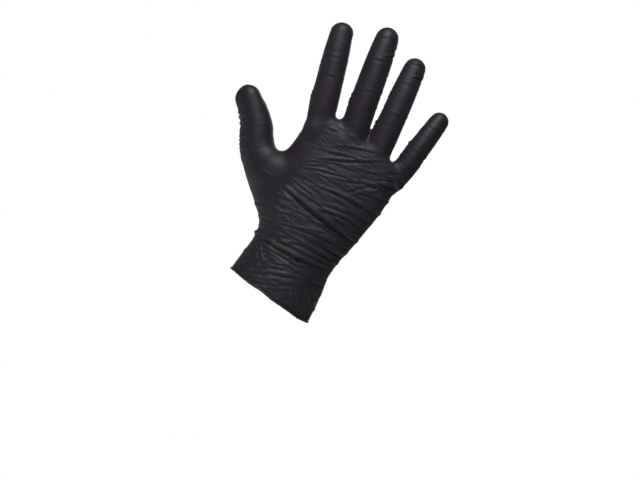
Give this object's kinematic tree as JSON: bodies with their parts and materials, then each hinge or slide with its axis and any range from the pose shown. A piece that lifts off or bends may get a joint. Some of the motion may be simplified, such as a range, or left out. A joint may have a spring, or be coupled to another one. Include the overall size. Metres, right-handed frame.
{
  "type": "disposable nitrile glove",
  "caption": "Thin black five-finger glove in its worn, open-hand shape: a hollow film that bends at the wrist, knuckles and finger joints, with a rolled rim at the wrist opening.",
  "frame": {"origin": "centre of the wrist opening, in the plane of its rim", "axes": "+Z from the wrist opening to the fingertips, +Y out of the palm, -X on the thumb's side"},
  "size_m": [0.1505, 0.0516, 0.221],
  "materials": {
    "nitrile_film": "satin, matte-black dipped nitrile",
    "rolled_rim": "satin, rolled film"
  },
  "bodies": {
    "cuff": {"cuff": "nitrile_film", "cuff_bead": "rolled_rim", "wrist_crease": "nitrile_film"},
    "hand": {"hand": "nitrile_film", "knuckle_crease": "nitrile_film", "thumb_root_crease": "nitrile_film"},
    "index_proximal": {"index_proximal": "nitrile_film", "index_middle_crease": "nitrile_film"},
    "index_middle": {"index_middle": "nitrile_film", "index_tip_crease": "nitrile_film"},
    "index_tip": {"index_tip": "nitrile_film"},
    "middle_proximal": {"middle_proximal": "nitrile_film", "middle_middle_crease": "nitrile_film"},
    "middle_middle": {"middle_middle": "nitrile_film", "middle_tip_crease": "nitrile_film"},
    "middle_tip": {"middle_tip": "nitrile_film"},
    "ring_proximal": {"ring_proximal": "nitrile_film", "ring_middle_crease": "nitrile_film"},
    "ring_middle": {"ring_middle": "nitrile_film", "ring_tip_crease": "nitrile_film"},
    "ring_tip": {"ring_tip": "nitrile_film"},
    "little_proximal": {"little_proximal": "nitrile_film", "little_middle_crease": "nitrile_film"},
    "little_middle": {"little_middle": "nitrile_film", "little_tip_crease": "nitrile_film"},
    "little_tip": {"little_tip": "nitrile_film"},
    "thumb_base": {"thumb_base": "nitrile_film", "thumb_knuckle_crease": "nitrile_film"},
    "thumb_middle": {"thumb_middle": "nitrile_film", "thumb_tip_crease": "nitrile_film"},
    "thumb_tip": {"thumb_tip": "nitrile_film"}
  },
  "joints": [
    {"name": "wrist_bend", "type": "hinge", "parent": "cuff", "child": "hand", "pos_m": [-0.0045, 0, 0.038], "axis": [-1, 0, 0], "range_deg": [-50, 50], "stiffness_Nm_per_rad": 0.05, "deforming": ["wrist_crease"]},
    {"name": "index_knuckle", "type": "hinge", "parent": "hand", "child": "index_proximal", "pos_m": [-0.05074, 0.0004, 0.13915], "axis": [-0.9239, 0, -0.3827], "range_deg": [-10, 70], "stiffness_Nm_per_rad": 0.01, "deforming": ["knuckle_crease"]},
    {"name": "index_middle_joint", "type": "hinge", "parent": "index_proximal", "child": "index_middle", "pos_m": [-0.05972, 0.00122, 0.16085], "axis": [-0.9239, 0, -0.3827], "range_deg": [-5, 75], "stiffness_Nm_per_rad": 0.006, "deforming": ["index_middle_crease"]},
    {"name": "index_tip_joint", "type": "hinge", "parent": "index_middle", "child": "index_tip", "pos_m": [-0.06865, 0.00408, 0.1824], "axis": [-0.9239, 0, -0.3827], "range_deg": [-3, 45], "stiffness_Nm_per_rad": 0.004, "deforming": ["index_tip_crease"]},
    {"name": "middle_knuckle", "type": "hinge", "parent": "hand", "child": "middle_proximal", "pos_m": [-0.02223, -0.0008, 0.14108], "axis": [-0.9583, 0, -0.2857], "range_deg": [-10, 70], "stiffness_Nm_per_rad": 0.01},
    {"name": "middle_middle_joint", "type": "hinge", "parent": "middle_proximal", "child": "middle_middle", "pos_m": [-0.03066, -0.00028, 0.16935], "axis": [-0.9583, 0, -0.2857], "range_deg": [-5, 75], "stiffness_Nm_per_rad": 0.006, "deforming": ["middle_middle_crease"]},
    {"name": "middle_tip_joint", "type": "hinge", "parent": "middle_middle", "child": "middle_tip", "pos_m": [-0.03875, 0.00269, 0.19651], "axis": [-0.9583, 0, -0.2857], "range_deg": [-3, 45], "stiffness_Nm_per_rad": 0.004, "deforming": ["middle_tip_crease"]},
    {"name": "ring_knuckle", "type": "hinge", "parent": "hand", "child": "ring_proximal", "pos_m": [0.00164, -0.0004, 0.14055], "axis": [-0.9751, 0, -0.2215], "range_deg": [-10, 70], "stiffness_Nm_per_rad": 0.01},
    {"name": "ring_middle_joint", "type": "hinge", "parent": "ring_proximal", "child": "ring_middle", "pos_m": [-0.004, 0.00049, 0.1654], "axis": [-0.9751, 0, -0.2215], "range_deg": [-5, 75], "stiffness_Nm_per_rad": 0.006, "deforming": ["ring_middle_crease"]},
    {"name": "ring_tip_joint", "type": "hinge", "parent": "ring_middle", "child": "ring_tip", "pos_m": [-0.00982, 0.00418, 0.19099], "axis": [-0.9751, 0, -0.2215], "range_deg": [-3, 45], "stiffness_Nm_per_rad": 0.004, "deforming": ["ring_tip_crease"]},
    {"name": "little_knuckle", "type": "hinge", "parent": "hand", "child": "little_proximal", "pos_m": [0.02582, 0.001, 0.137], "axis": [-1, 0, -0.0087], "range_deg": [-10, 70], "stiffness_Nm_per_rad": 0.01},
    {"name": "little_middle_joint", "type": "hinge", "parent": "little_proximal", "child": "little_middle", "pos_m": [0.02565, 0.00202, 0.15647], "axis": [-1, 0, -0.0087], "range_deg": [-5, 75], "stiffness_Nm_per_rad": 0.006, "deforming": ["little_middle_crease"]},
    {"name": "little_tip_joint", "type": "hinge", "parent": "little_middle", "child": "little_tip", "pos_m": [0.0255, 0.00446, 0.1738], "axis": [-1, 0, -0.0087], "range_deg": [-3, 45], "stiffness_Nm_per_rad": 0.004, "deforming": ["little_tip_crease"]},
    {"name": "thumb_swing", "type": "hinge", "parent": "hand", "child": "thumb_base", "pos_m": [-0.057, 0.008, 0.075], "axis": [0, 0, 1], "range_deg": [-35, 10], "stiffness_Nm_per_rad": 0.02, "deforming": ["thumb_root_crease"]},
    {"name": "thumb_knuckle", "type": "hinge", "parent": "thumb_base", "child": "thumb_middle", "pos_m": [-0.071, 0.011, 0.0835], "axis": [-0.6103, 0.4996, -0.6147], "range_deg": [-5, 45], "stiffness_Nm_per_rad": 0.01, "deforming": ["thumb_knuckle_crease"]},
    {"name": "thumb_tip_joint", "type": "hinge", "parent": "thumb_middle", "child": "thumb_tip", "pos_m": [-0.0885, 0.013, 0.1025], "axis": [-0.5271, 0.4998, -0.6873], "range_deg": [-5, 65], "stiffness_Nm_per_rad": 0.006, "deforming": ["thumb_tip_crease"]}
  ],
  "couplings": [
    {"joint": "index_tip_joint", "follows": "index_middle_joint", "ratio": 0.6},
    {"joint": "middle_tip_joint", "follows": "middle_middle_joint", "ratio": 0.6},
    {"joint": "ring_tip_joint", "follows": "ring_middle_joint", "ratio": 0.6},
    {"joint": "little_tip_joint", "follows": "little_middle_joint", "ratio": 0.6}
  ]
}
